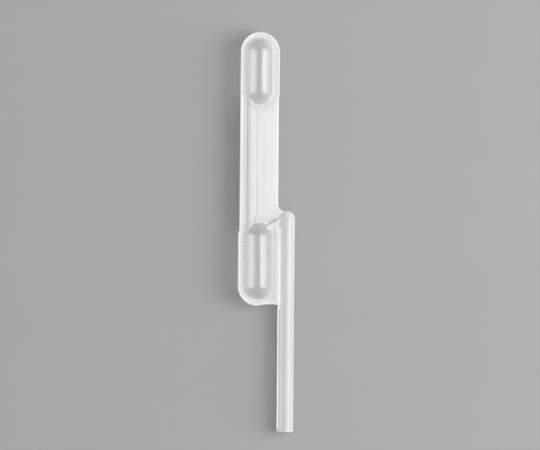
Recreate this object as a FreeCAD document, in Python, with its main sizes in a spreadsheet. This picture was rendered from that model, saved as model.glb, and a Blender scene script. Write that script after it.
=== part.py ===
import FreeCAD, Part
import Sketcher
import math
import os

# Dual-bulb exact-volume transfer pipette, blow moulded from thin translucent LDPE.
# Two walls, front (y < 0) and rear (y > 0), are welded together at y = 0 in a flat
# web and stand apart at the squeeze bulb (top), the air channel, the overflow bulb,
# the overflow duct and the stem. Millimetres, +Z up with the squeeze bulb on top.
# The origin is the centre of the open stem tip, and +Z runs up the stem axis.

os.makedirs("parts", exist_ok=True)
doc = FreeCAD.newDocument("dual_bulb_pipette")

# ---------------------------------------------------------------- driving dimensions
# alias, value, what it is
ROWS = [
    ("total_length", 95.0, "tip to top of the head flange"),
    ("lamina", 0.45, "thickness of one welded wall"),
    ("bulb_wall", 0.45, "wall of both bulbs"),
    ("foot_margin", 0.50, "width of the foot around each bulb"),
    ("foot_fillet", 0.40, "fillet between a bulb and its foot"),
    ("head_x", -6.62, "centre of the round head flange"),
    ("head_radius", 4.65, "outer radius of the head flange"),
    ("head_step_top", 80.5, "head flange starts to narrow on the right"),
    ("head_step_low", 79.1, "end of that step"),
    ("panel_left", -11.30, "left edge of the web panel"),
    ("panel_right", -2.09, "right edge of the web panel"),
    ("shoulder_radius", 1.5, "inner corner between panel and stem top"),
    ("shoulder_sink", 0.05, "how far that corner runs into the stem dome"),
    ("lobe_x", -7.03, "centre of the lower lobe's round corner"),
    ("lobe_radius", 4.55, "radius of that corner"),
    ("lobe_z", 34.54, "height of its centre"),
    ("lobe_step_low", 47.1, "lobe starts to narrow on the left"),
    ("lobe_step_top", 47.9, "end of that step"),
    ("web_low", 30.30, "flat lower edge of the web"),
    ("web_low_blend", 2.0, "blend between round corner and flat edge"),
    ("root_fillet", 0.70, "inner corner between web and free stem"),
    ("root_sink", 0.09, "how far that corner runs into the stem"),
    ("squeeze_x", -6.78, "squeeze bulb centre line"),
    ("squeeze_radius", 3.21, "squeeze bulb outer radius"),
    ("squeeze_low", 78.00, "lowest point of the squeeze bulb"),
    ("squeeze_top", 93.45, "highest point of the squeeze bulb"),
    ("overflow_x", -6.88, "overflow bulb centre line"),
    ("overflow_radius", 3.30, "overflow bulb outer radius"),
    ("overflow_low", 31.65, "lowest point of the overflow bulb"),
    ("overflow_top", 49.40, "highest point of the overflow bulb"),
    ("press_half", 1.80, "half width of the part of a bulb wall that is pressed in"),
    ("press_gap", 0.04, "running gap around that part"),
    ("channel_x", -8.88, "air channel axis"),
    ("channel_radius", 1.02, "air channel outer radius"),
    ("channel_bore", 0.55, "air channel bore radius"),
    ("channel_foot", 1.45, "half width of the air channel's foot"),
    ("channel_fillet", 0.25, "fillet at the air channel's foot"),
    ("channel_low", 47.00, "air channel starts inside the overflow bulb"),
    ("channel_top", 80.40, "air channel ends inside the squeeze bulb"),
    ("duct_x", -4.94, "overflow duct start, inside the overflow bulb"),
    ("duct_z", 48.50, "overflow duct start height"),
    ("duct_lean", 56.8, "angle of the overflow duct from +Z"),
    ("duct_length", 5.50, "length of the duct blank"),
    ("duct_radius", 0.80, "overflow duct outer radius"),
    ("duct_bore", 0.40, "overflow duct bore radius"),
    ("duct_foot", 1.10, "half width of the duct's foot"),
    ("duct_fillet", 0.15, "fillet at the duct's foot"),
    ("duct_bore_back", 0.42, "bore starts this far behind the blank"),
    ("duct_bore_length", 5.60, "length of the bore"),
    ("stem_radius", 1.95, "free stem outer radius"),
    ("stem_top_radius", 2.04, "stem outer radius under its dome"),
    ("stem_bore", 1.225, "stem bore radius"),
    ("stem_free", 29.40, "length of the straight free stem"),
    ("stem_dome_z", 50.61, "centre of the stem's domed top"),
    ("edge_round", 0.14, "rounding of the web's outer edges"),
]
sheet = doc.addObject("Spreadsheet::Sheet", "Dimensions")
for row, (alias, value, note) in enumerate(ROWS, start=1):
    sheet.set(f"A{row}", alias)
    sheet.set(f"B{row}", repr(value))
    sheet.set(f"C{row}", note)
    sheet.setAlias(f"B{row}", alias)
doc.recompute()


class Dim:
    """A size with its present value and the expression that binds it to the sheet."""

    def __init__(self, value, text):
        self.value = float(value)
        self.text = text

    @staticmethod
    def of(number):
        return number if isinstance(number, Dim) else Dim(number, repr(float(number)))

    def __add__(self, other):
        return Dim(self.value + other.value, f"({self.text} + {other.text})")

    def __sub__(self, other):
        return Dim(self.value - other.value, f"({self.text} - {other.text})")

    def __mul__(self, other):
        other = Dim.of(other)
        return Dim(self.value * other.value, f"({self.text} * {other.text})")

    __rmul__ = __mul__

    def __truediv__(self, other):
        return Dim(self.value / other.value, f"({self.text} / {other.text})")

    def __neg__(self):
        return Dim(-self.value, f"(0 - {self.text})")


def leg(slant, other_leg):
    """The remaining leg of a right-angled triangle."""
    square = slant * slant - other_leg * other_leg
    return Dim(math.sqrt(square.value), f"sqrt({square.text})")


size = {alias: Dim(value, "Dimensions." + alias) for alias, value, note in ROWS}
ZERO = Dim(0.0, "0")
LAMINA = size["lamina"]


# ---------------------------------------------------------------- sketches
# Sketcher's numbers for the sketch axes and for the points of a curve
HORIZONTAL_AXIS, VERTICAL_AXIS = -1, -2
START, END, CENTRE = 1, 2, 3


def new_sketch(body, name, role, x=None, y=None, z=None):
    """A sketch on an origin plane, moved by x, y, z in that plane's own axes."""
    sketch = body.newObject("Sketcher::SketchObject", name)
    plane = next(f for f in body.Origin.OriginFeatures if f.Role == role)
    sketch.AttachmentSupport = [(plane, "")]
    sketch.MapMode = "FlatFace"
    for key, dim in (("x", x), ("y", y), ("z", z)):
        if dim is not None:
            sketch.setExpression("AttachmentOffset.Base." + key, dim.text)
    return sketch


def hold(sketch, curve, point, direction, dim):
    """Hold one coordinate of a sketch point; a zero puts the point on the axis."""
    if dim.value == 0.0:
        axis = VERTICAL_AXIS if direction == "X" else HORIZONTAL_AXIS
        sketch.addConstraint(Sketcher.Constraint("PointOnObject", curve, point, axis))
    else:
        kind = "Distance" + direction
        index = sketch.addConstraint(
            Sketcher.Constraint(kind, -1, START, curve, point, dim.value)
        )
        sketch.setExpression(f"Constraints[{index}]", dim.text)


def arc_curve(start, stop, centre_x, centre_y, radius):
    """Counter-clockwise arc from start to stop."""
    angles = [
        math.atan2(y.value - centre_y.value, x.value - centre_x.value)
        for x, y in (start, stop)
    ]
    if angles[1] <= angles[0]:
        angles[1] += 2 * math.pi
    centre = FreeCAD.Vector(centre_x.value, centre_y.value, 0)
    circle = Part.Circle(centre, FreeCAD.Vector(0, 0, 1), radius.value)
    return Part.ArcOfCircle(circle, *angles)


def hold_arc(sketch, curve, start, stop, centre_x, centre_y, radius):
    """Hold an arc by its radius, or a near half circle by its centre."""
    wide = abs(start[0].value - stop[0].value)
    tall = abs(start[1].value - stop[1].value)
    # the ends of a near half circle already give its radius
    if math.hypot(wide, tall) < 1.9 * radius.value:
        index = sketch.addConstraint(Sketcher.Constraint("Radius", curve, radius.value))
        sketch.setExpression(f"Constraints[{index}]", radius.text)
    elif wide > tall:
        hold(sketch, curve, CENTRE, "Y", centre_y)
    else:
        hold(sketch, curve, CENTRE, "X", centre_x)


def outline(sketch, points, arcs=None):
    """A closed chain of lines and arcs through the points.

    arcs: {segment: (centre x, centre y, radius, counter-clockwise)}
    """
    arcs = arcs or {}
    segments = list(zip(points, points[1:] + points[:1]))
    ends = []  # curve, its first point and its last point along the chain
    for i, (start, stop) in enumerate(segments):
        first, last = START, END
        if i in arcs:
            *circle, counter_clockwise = arcs[i]
            if counter_clockwise:
                curve = arc_curve(start, stop, *circle)
            else:
                curve = arc_curve(stop, start, *circle)
                first, last = END, START
        else:
            curve = Part.LineSegment(
                *(FreeCAD.Vector(x.value, y.value, 0) for x, y in (start, stop))
            )
        ends.append((sketch.addGeometry(curve, False), first, last))
    for (curve, _, last), (following, first, _) in zip(ends, ends[1:] + ends[:1]):
        sketch.addConstraint(
            Sketcher.Constraint("Coincident", curve, last, following, first)
        )
    for i, (start, stop) in enumerate(segments):
        curve, first, _ = ends[i]
        hold(sketch, curve, first, "X", start[0])
        hold(sketch, curve, first, "Y", start[1])
        if i in arcs:
            hold_arc(sketch, curve, start, stop, *arcs[i][:3])


def mirrored(points, arcs):
    """An outline mirrored in the sketch's vertical axis."""
    return (
        [(-x, y) for x, y in points],
        {i: (-x, y, radius, not ccw) for i, (x, y, radius, ccw) in arcs.items()},
    )


# ---------------------------------------------------------------- features
def new_body(label):
    body = doc.addObject("PartDesign::Body", label)
    body.Label = label
    return body


def finish(body, feature):
    body.Tip = feature
    doc.recompute()
    return feature


def extrude(body, kind, name, sketch, length, back):
    feature = body.newObject("PartDesign::" + kind, name)
    feature.Profile = sketch
    feature.setExpression("Length", length.text)
    feature.Reversed = back
    return finish(body, feature)


def pad(body, name, sketch, length, back=False):
    return extrude(body, "Pad", name, sketch, length, back)


def pocket(body, name, sketch, length, back):
    """A cut that has to remove material."""
    before = body.Shape.Volume
    extrude(body, "Pocket", name, sketch, length, back)
    if not body.Shape.Volume < before - 1e-3:
        raise RuntimeError(name + " cuts nothing")


def revolve(body, name, sketch, angle, back=False):
    """Turn a sketch about its own vertical axis."""
    feature = body.newObject("PartDesign::Revolution", name)
    feature.Profile = sketch
    feature.ReferenceAxis = (sketch, ["V_Axis"])
    feature.Angle = angle
    feature.Reversed = back
    return finish(body, feature)


def fillet(body, name, base, pick, radius):
    """Round the edges of base for which pick(edge) is true."""
    edges = [f"Edge{i}" for i, edge in enumerate(base.Shape.Edges, start=1) if pick(edge)]
    if not edges:
        raise RuntimeError("no edges for " + name)
    feature = body.newObject("PartDesign::Fillet", name)
    feature.Base = (base, edges)
    feature.setExpression("Radius", radius.text)
    finish(body, feature)


def cut(label, base, tool):
    feature = doc.addObject("Part::Cut", label)
    feature.Label = label
    feature.Base = base
    feature.Tool = tool
    doc.recompute()
    return feature


def middle(edge):
    return edge.valueAt((edge.FirstParameter + edge.LastParameter) / 2)


def ends_at_y(edge, y, tolerance):
    return all(abs(vertex.Point.y - y) < tolerance for vertex in edge.Vertexes)


# ---------------------------------------------------------------- bulbs
def bulb_span(bulb):
    """Heights between which a bulb is straight; its ends are round."""
    radius = size[bulb + "_radius"]
    return size[bulb + "_low"] + radius, size[bulb + "_top"] - radius


def bulb_sections(kind, outer, side):
    """Outlines of the straight middle, and the half outline that is turned at each end."""
    inner = outer - size["bulb_wall"]
    foot = outer + size["foot_margin"]
    toe = leg(outer, LAMINA)
    face = side * LAMINA
    foot_points = [(foot, ZERO), (foot, face), (toe, face)]
    rear = side > 0
    outer_arc = (ZERO, ZERO, outer, rear)

    def rim(radius, across):
        return side * leg(radius, across)

    if kind == "shoulder":
        gate = size["press_half"] + size["press_gap"]
        points = [
            (inner, ZERO),
            *foot_points,
            (gate, rim(outer, gate)),
            (gate, rim(inner, gate)),
        ]
        half = (points, {3: outer_arc, 5: (ZERO, ZERO, inner, not rear)})
        return [half, mirrored(*half)], half

    if kind == "press":
        press = size["press_half"]
        crown_arc = (ZERO, ZERO, outer, not rear)
        inner_arc = (ZERO, ZERO, inner, rear)
        right = [(press, rim(outer, press)), (press, rim(inner, press))]
        left = [(-press, rim(inner, press))]
        whole = ([(-press, rim(outer, press))] + right + left, {0: crown_arc, 2: inner_arc})
        half = (
            [(ZERO, side * inner), (ZERO, side * outer)] + right,
            {1: crown_arc, 3: inner_arc},
        )
        return [whole], half

    whole = ([(-foot, ZERO), *foot_points, (-toe, face), (-foot, face)], {3: outer_arc})
    half = ([(ZERO, ZERO), *foot_points, (ZERO, side * outer)], {3: outer_arc})
    return [whole], half


def bulb_body(label, kind, bulb, side):
    """Half of a round-ended bulb.

    kind: shoulder (lower wall with its foot), press (crown) or envelope (filled)
    """
    body = new_body(label)
    centre = size[bulb + "_x"]
    outer = size[bulb + "_radius"]
    low, top = bulb_span(bulb)
    middle_outlines, end_outline = bulb_sections(kind, outer, side)

    sketch = new_sketch(body, label + "_middle", "XY_Plane", x=centre, z=low)
    for points, arcs in middle_outlines:
        outline(sketch, points, arcs)
    pad(body, label + "_straight", sketch, top - low)
    for end, height, back in (("low", low, False), ("top", top, True)):
        name = f"{label}_{end}"
        sketch = new_sketch(body, name + "_section", "XY_Plane", x=centre, z=height)
        outline(sketch, *end_outline)
        last = revolve(body, name + "_end", sketch, 180.0, back)
    if kind == "press":
        return body

    face_y = side * LAMINA.value
    toe = leg(outer, LAMINA).value

    def at_toe(edge):
        point = middle(edge)
        if abs(point.y - face_y) >= 1e-4 or not ends_at_y(edge, face_y, 1e-4):
            return False
        nearest_z = min(max(point.z, low.value), top.value)
        distance = math.hypot(point.x - centre.value, point.z - nearest_z)
        return abs(distance - toe) < 0.02

    fillet(body, label + "_toe", last, at_toe, size["foot_fillet"])
    return body


# ---------------------------------------------------------------- raised ridges
def ridge_body(passage, face, side, length):
    """Half tube on a flat foot, padded along the body's own +Z. passage: channel or duct."""
    label = f"{passage}_{face}_blank"
    body = new_body(label)
    radius = size[passage + "_radius"]
    bore = size[passage + "_bore"]
    foot = size[passage + "_foot"]
    toe = leg(radius, LAMINA)
    top = side * LAMINA
    sketch = new_sketch(body, label + "_section", "XY_Plane")
    outline(
        sketch,
        [
            (-foot, ZERO),
            (-foot, top),
            (-toe, top),
            (toe, top),
            (foot, top),
            (foot, ZERO),
            (bore, ZERO),
            (-bore, ZERO),
        ],
        {2: (ZERO, ZERO, radius, side < 0), 6: (ZERO, ZERO, bore, side > 0)},
    )
    run = pad(body, label + "_run", sketch, length)

    def at_toe(edge):
        if len(edge.Vertexes) != 2:
            return False
        start, stop = (vertex.Point for vertex in edge.Vertexes)
        return (
            abs(start.x - stop.x) < 1e-5
            and ends_at_y(edge, top.value, 1e-4)
            and abs(abs(start.x) - toe.value) < 1e-3
        )

    fillet(body, label + "_toe", run, at_toe, size[passage + "_fillet"])
    return body


def place(obj, x, z, lean=None):
    """Bind an object's place to the sheet; lean tips its +Z towards +X."""
    if lean is not None:
        tilt = FreeCAD.Rotation(FreeCAD.Vector(0, 1, 0), lean.value)
        obj.Placement = FreeCAD.Placement(FreeCAD.Vector(), tilt)
        obj.setExpression("Placement.Rotation.Angle", lean.text)
    obj.setExpression("Placement.Base.x", x)
    obj.setExpression("Placement.Base.z", z)
    doc.recompute()


CHANNEL_RUN = size["channel_top"] - size["channel_low"]
CHANNEL_START = (size["channel_x"].text, size["channel_low"].text)


def air_channel(face, side, envelopes):
    blank = ridge_body("channel", face, side, CHANNEL_RUN)
    place(blank, *CHANNEL_START)
    part = cut(f"channel_{face}_low_cut", blank, envelopes["overflow"])
    return cut("air_channel_" + face, part, envelopes["squeeze"])


def overflow_duct(face, side, envelopes):
    blank = ridge_body("duct", face, side, size["duct_length"])
    place(blank, size["duct_x"].text, size["duct_z"].text, size["duct_lean"])
    part = cut(f"duct_{face}_bulb_cut", blank, envelopes["overflow"])
    return cut("overflow_duct_" + face, part, stem_filled)


# ---------------------------------------------------------------- stem
def stem_body(label, filled):
    body = new_body(label)
    sketch = new_sketch(body, label + "_half_section", "XZ_Plane")
    radius, top_radius = size["stem_radius"], size["stem_top_radius"]
    bore, dome = size["stem_bore"], size["stem_dome_z"]
    points = [
        (radius, ZERO),
        (radius, size["stem_free"]),
        (top_radius, dome),
        (ZERO, dome + top_radius),
    ]
    arcs = {2: (ZERO, dome, top_radius, True)}
    if filled:
        points += [(ZERO, ZERO)]
    else:
        points += [(ZERO, dome + bore), (bore, dome), (bore, ZERO)]
        arcs[4] = (ZERO, dome, bore, False)
    outline(sketch, points, arcs)
    revolve(body, label + "_turn", sketch, 360.0)
    return body


# ---------------------------------------------------------------- web
# edges right of the stem's left side and below this height are hidden in the stem
HIDDEN_BELOW = 52.5


def web_plate(body, label, side):
    """The web's outline as a plate with its outer edges rounded."""
    head_x, head_radius = size["head_x"], size["head_radius"]
    head_z = size["total_length"] - head_radius

    # inner corner between the panel and the stem's dome
    right, corner = size["panel_right"], size["shoulder_radius"]
    dome = size["stem_dome_z"]
    corner_x = right + corner
    corner_z = dome + leg(size["stem_top_radius"] + corner, corner_x) - size["shoulder_sink"]

    # round corner of the lower lobe, blended into the flat lower edge
    lobe_x, lobe_z, lobe_radius = size["lobe_x"], size["lobe_z"], size["lobe_radius"]
    web_low, blend = size["web_low"], size["web_low_blend"]
    centres = lobe_radius + blend
    drop = lobe_z - (web_low - blend)
    across = leg(centres, drop)
    share = lobe_radius / centres

    # inner corner between the lower edge and the free stem
    root = size["root_fillet"]
    root_x = size["root_sink"] - size["stem_radius"] - root
    root_z = web_low - root

    points = [
        (head_x - head_radius, head_z),
        (head_x + head_radius, head_z),
        (head_x + head_radius, size["head_step_top"]),
        (right, size["head_step_low"]),
        (right, corner_z),
        (corner_x, corner_z - corner),
        (ZERO, dome),
        (ZERO, root_z),
        (root_x + root, root_z),
        (root_x, web_low),
        (lobe_x + across, web_low),
        (lobe_x + across * share, lobe_z - drop * share),
        (lobe_x - lobe_radius, lobe_z),
        (lobe_x - lobe_radius, size["lobe_step_low"]),
        (size["panel_left"], size["lobe_step_top"]),
    ]
    arcs = {
        0: (head_x, head_z, head_radius, False),
        4: (corner_x, corner_z, corner, True),
        8: (root_x, root_z, root, True),
        10: (lobe_x + across, web_low - blend, blend, True),
        11: (lobe_x, lobe_z, lobe_radius, False),
    }
    sketch = new_sketch(body, label + "_outline", "XZ_Plane")
    outline(sketch, points, arcs)
    plate = pad(body, label + "_plate", sketch, LAMINA, side > 0)
    face_y = side * LAMINA.value

    def at_rim(edge):
        point = middle(edge)
        if abs(point.y - face_y) > 1e-5 or not ends_at_y(edge, face_y, 1.00001e-5):
            return False
        inside_stem = point.x > -size["stem_radius"].value and point.z < HIDDEN_BELOW
        root_corner = point.x > root_x.value and point.z < web_low.value - 1e-3
        return not (inside_stem or root_corner)

    fillet(body, label + "_edge", plate, at_rim, size["edge_round"])


def box_points(half_width, low, top):
    return [(-half_width, low), (half_width, low), (half_width, top), (-half_width, top)]


def web_body(label, side):
    """The plate with openings for the bulbs, the air channel and the duct."""
    body = new_body(label)
    web_plate(body, label, side)

    def open_window(name, x, points, arcs=None, y=None, turn=None):
        sketch = new_sketch(body, f"{label}_{name}_window", "XZ_Plane", x=x, y=y)
        if turn is not None:
            clockwise = FreeCAD.Rotation(FreeCAD.Vector(0, 0, -1), turn.value)
            sketch.AttachmentOffset = FreeCAD.Placement(FreeCAD.Vector(), clockwise)
            sketch.setExpression("AttachmentOffset.Base.x", x.text)
            sketch.setExpression("AttachmentOffset.Base.y", y.text)
            sketch.setExpression("AttachmentOffset.Rotation.Angle", turn.text)
        outline(sketch, points, arcs)
        pocket(body, f"{label}_{name}_opening", sketch, LAMINA * 2.0, side < 0)

    for bulb in BULBS:
        foot = size[bulb + "_radius"] + size["foot_margin"]
        low, top = bulb_span(bulb)
        round_ends = {0: (ZERO, low, foot, True), 2: (ZERO, top, foot, True)}
        open_window(bulb, size[bulb + "_x"], box_points(foot, low, top), round_ends)
    open_window(
        "channel",
        size["channel_x"],
        box_points(size["channel_foot"], size["channel_low"], size["channel_top"]),
    )
    # the duct's foot leans over to the stem, so its window is drawn in a turned sketch
    open_window(
        "duct",
        size["duct_x"],
        box_points(size["duct_foot"], ZERO, size["duct_length"]),
        y=size["duct_z"],
        turn=size["duct_lean"],
    )
    return body


# ---------------------------------------------------------------- bores
def bore_tool(name, radius, length, x, z, lean=None):
    tool = doc.addObject("Part::Cylinder", name)
    tool.setExpression("Radius", radius.text)
    tool.setExpression("Height", length.text)
    place(tool, x, z, lean)
    return tool


# ---------------------------------------------------------------- build the pieces
BULBS = ("squeeze", "overflow")

airway = bore_tool("airway_bore", size["channel_bore"], CHANNEL_RUN, *CHANNEL_START)
duct_bore = bore_tool(
    "duct_bore_tool",
    size["duct_bore"],
    size["duct_bore_length"],
    "Dimensions.duct_x - Dimensions.duct_bore_back * sin(Dimensions.duct_lean * 1deg)",
    "Dimensions.duct_z - Dimensions.duct_bore_back * cos(Dimensions.duct_lean * 1deg)",
    size["duct_lean"],
)
stem_filled = stem_body("stem_filled", True)
pieces = [cut("stem_tube", stem_body("stem_blank", False), duct_bore)]


def bulb_shoulder(bulb, face, side):
    """Lower bulb wall, opened to the air channel and, on the overflow bulb, to the duct."""
    name = f"{bulb}_shoulder_{face}"
    wall = bulb_body(name + "_blank", "shoulder", bulb, side)
    opened = cut(name + "_vented", wall, airway)
    label = f"{bulb}_bulb_{face}_shoulder"
    if bulb == "overflow":
        return cut(label, opened, duct_bore)
    opened.Label = label
    return opened


for side, face in ((-1, "front"), (1, "rear")):
    envelopes = {}
    for bulb in BULBS:
        envelopes[bulb] = bulb_body(f"{bulb}_envelope_{face}", "envelope", bulb, side)
        pieces.append(bulb_shoulder(bulb, face, side))
        pieces.append(bulb_body(f"{bulb}_bulb_{face}_press_wall", "press", bulb, side))
    pieces.append(air_channel(face, side, envelopes))
    pieces.append(overflow_duct(face, side, envelopes))
    pieces.append(cut("web_" + face, web_body(f"web_{face}_blank", side), stem_filled))

# ---------------------------------------------------------------- check and write
doc.recompute()
for obj in doc.Objects:
    if "Invalid" in obj.State or "Error" in obj.State:
        raise RuntimeError(f"{obj.Label} failed: {obj.State}")
for piece in pieces:
    shape = piece.Shape
    if shape.isNull() or not shape.isValid() or not shape.Solids:
        raise RuntimeError(piece.Label + " has no valid solid")
for piece in pieces:
    piece.Shape.exportStep(f"parts/{piece.Label}.step")
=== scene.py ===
"""A squeeze pipette moulded in translucent polyethylene.

It stands along z with the stem's tip at z = 0 and the stem's axis on x = y = 0. Beside the
stem, toward -x, a flat web carries the overflow bulb and, above it, the squeeze bulb. A raised
air channel joins the bulbs and a short duct joins the overflow bulb to the stem. Two alike
halves meet at the weld plane y = 0; the front half is toward -y.
"""
import math
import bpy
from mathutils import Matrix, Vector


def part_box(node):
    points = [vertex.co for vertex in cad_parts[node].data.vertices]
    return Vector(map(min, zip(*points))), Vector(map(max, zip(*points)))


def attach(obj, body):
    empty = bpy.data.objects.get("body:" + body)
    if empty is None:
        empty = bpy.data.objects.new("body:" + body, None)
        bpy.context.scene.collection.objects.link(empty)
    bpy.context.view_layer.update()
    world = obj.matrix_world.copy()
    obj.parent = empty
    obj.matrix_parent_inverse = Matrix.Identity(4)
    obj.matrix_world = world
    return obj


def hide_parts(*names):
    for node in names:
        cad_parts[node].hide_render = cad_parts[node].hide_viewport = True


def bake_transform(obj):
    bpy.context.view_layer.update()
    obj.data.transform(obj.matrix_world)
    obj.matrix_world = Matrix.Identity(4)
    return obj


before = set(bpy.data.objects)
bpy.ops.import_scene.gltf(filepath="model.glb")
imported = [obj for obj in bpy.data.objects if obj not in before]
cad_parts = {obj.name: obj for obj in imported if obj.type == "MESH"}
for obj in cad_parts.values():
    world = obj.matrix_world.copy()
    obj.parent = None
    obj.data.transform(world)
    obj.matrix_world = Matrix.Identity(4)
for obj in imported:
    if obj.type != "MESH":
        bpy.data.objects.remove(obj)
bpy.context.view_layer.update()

from types import SimpleNamespace

import bmesh
import bpy
import numpy as np
from mathutils import Matrix, Vector, noise
from mathutils.geometry import delaunay_2d_cdt

MM = 0.001
FRONT, REAR = -1, 1  # side of the weld plane, as the sign of y
PLASTIC, HIDDEN = 0, 1  # material slots: visible wall, inner joint


# ------------------------------------------------------------------ sizes, in millimetres
def box_mm(node):
    low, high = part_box(node)
    return np.array(low) * 1000.0, np.array(high) * 1000.0


def read_bulb(which):
    """A bulb is a round-ended slot in plan: a centre line from low to top at x."""
    low, high = box_mm(which + "_bulb_front_shoulder")
    crown, _ = box_mm(which + "_bulb_front_press_wall")
    foot = (high[0] - low[0]) / 2
    return SimpleNamespace(
        x=(low[0] + high[0]) / 2,
        foot=foot,
        low=low[2] + foot,
        top=high[2] - foot,
        radius=-crown[1],
    )


SQUEEZE = read_bulb("squeeze")
OVERFLOW = read_bulb("overflow")
BULB_WALL = 0.45
BULB_FILLET = 0.40

WEB_LOW, WEB_HIGH = box_mm("web_front")
SHEET = -WEB_LOW[1]  # thickness of one half's web
TOP_Z = WEB_HIGH[2]
WEB_BOTTOM = 30.30
HEAD_R = 4.65
HEAD_X = -6.62
LOBE_X, LOBE_R, LOBE_Z = -7.03, 4.55, 34.54
PANEL_LEFT, PANEL_RIGHT = -11.30, -2.09
WEB_HIDE = 1.80  # the web's edge is buried in the stem wall, this far from the stem's axis

STEM_LOW, STEM_HIGH = box_mm("stem_tube")
STEM_TOP_R = (STEM_HIGH[0] - STEM_LOW[0]) / 2
STEM_R = 1.95
STEM_BORE = 1.225
STEM_FREE = 29.4  # the stem is straight up to here, then widens to the dome
DOME_Z = STEM_HIGH[2] - STEM_TOP_R

# concave shoulder where the panel meets the dome; its centre's height is above the dome's centre
SHOULDER_R = 1.5
SHOULDER_X = PANEL_RIGHT + SHOULDER_R
SHOULDER_SINK = 0.05
SHOULDER_RISE = math.sqrt((STEM_TOP_R + SHOULDER_R) ** 2 - SHOULDER_X**2) - SHOULDER_SINK

# raised half tubes: radii outside and inside, half width of the flat foot, fillet between
CHANNEL = SimpleNamespace(radius=1.02, bore=0.55, foot=1.45, fillet=0.25)
CHANNEL_X = -8.88
DUCT = SimpleNamespace(radius=0.80, bore=0.40, foot=1.10, fillet=0.15)
DUCT_ORIGIN = np.array([-4.94, 48.50])
DUCT_ANGLE = math.radians(56.8)  # from +z toward +x
DUCT_ALONG = np.array([math.sin(DUCT_ANGLE), math.cos(DUCT_ANGLE)])
DUCT_ACROSS = np.array([math.cos(DUCT_ANGLE), -math.sin(DUCT_ANGLE)])
DUCT_FOOT_GAP = 1.90  # the duct's foot stops this far from the stem's axis
DUCT_END = 5.5  # the duct's foot ends here where it passes above the stem's dome


# ------------------------------------------------------------------ small helpers
def clamp(value):
    return min(max(value, 0.0), 1.0)


def smooth(share):
    return share * share * (3 - 2 * share)


def waviness(x, y, z, scale, seed):
    """Smooth, fixed waviness between about -1 and 1."""
    return noise.noise(Vector((x / scale + seed, y / scale - seed, z / scale + 2.7 * seed)))


def arc(centre_x, centre_z, radius, start, end, count):
    return [
        (centre_x + radius * math.cos(angle), centre_z + radius * math.sin(angle))
        for angle in np.linspace(start, end, count)
    ]


def line(start, end, step=0.5):
    """Even points from start up to, but without, the end."""
    run, rise = end[0] - start[0], end[1] - start[1]
    count = max(1, int(math.hypot(run, rise) / step))
    return [(start[0] + run * i / count, start[1] + rise * i / count) for i in range(count)]


def fillet_on_sheet(radius, fillet):
    """Fillet between the sheet's face and a circle at the origin: its centre's place across
    and the angle at which it touches the circle."""
    across = math.sqrt((radius + fillet) ** 2 - (SHEET + fillet) ** 2)
    return across, math.atan2(SHEET + fillet, across)


def stem_radius(z):
    return STEM_R + (STEM_TOP_R - STEM_R) * clamp((z - STEM_FREE) / (DOME_Z - STEM_FREE))


def stem_distance(x, z):
    """Distance in the web plane from the stem's axis or, above it, the dome's centre."""
    if z > DOME_Z:
        return math.hypot(x, z - DOME_Z)
    return abs(x)


# ------------------------------------------------------------------ materials
class Shader:
    """A new material with an empty node tree, and short ways to fill it."""

    def __init__(self, name):
        self.material = bpy.data.materials.new(name)
        self.material.use_nodes = True
        self.tree = self.material.node_tree
        self.tree.nodes.clear()

    def add(self, kind, inputs=None, **settings):
        """Add a node; each input is either a socket to link from or a plain value."""
        node = self.tree.nodes.new("ShaderNode" + kind)
        for key, value in settings.items():
            setattr(node, key, value)
        for key, value in (inputs or {}).items():
            if isinstance(value, bpy.types.NodeSocket):
                self.tree.links.new(value, node.inputs[key])
            else:
                node.inputs[key].default_value = value
        return node

    def math(self, operation, *values, clamped=False):
        inputs = dict(enumerate(values))
        return self.add("Math", inputs, operation=operation, use_clamp=clamped).outputs[0]

    def mix(self, share, first, second):
        return self.add("MixShader", {0: share, 1: first, 2: second}).outputs[0]

    def stretched_noise(self, coords, scale, detail, roughness):
        mapping = self.add("Mapping", {"Vector": coords, "Scale": scale})
        vector = mapping.outputs["Vector"]
        inputs = {"Vector": vector, "Scale": 1.0, "Detail": detail, "Roughness": roughness}
        return self.add("TexNoise", inputs).outputs["Fac"]

    def vary(self, pattern, amount):
        """A factor around 1 that follows a noise pattern."""
        centred = self.math("SUBTRACT", pattern, 0.5)
        return self.math("MULTIPLY_ADD", centred, amount * 2, 1.0)

    def attribute(self, name):
        return self.add("Attribute", attribute_name=name).outputs["Fac"]

    def finish(self, surface):
        self.add("OutputMaterial", {"Surface": surface})
        return self.material


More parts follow.
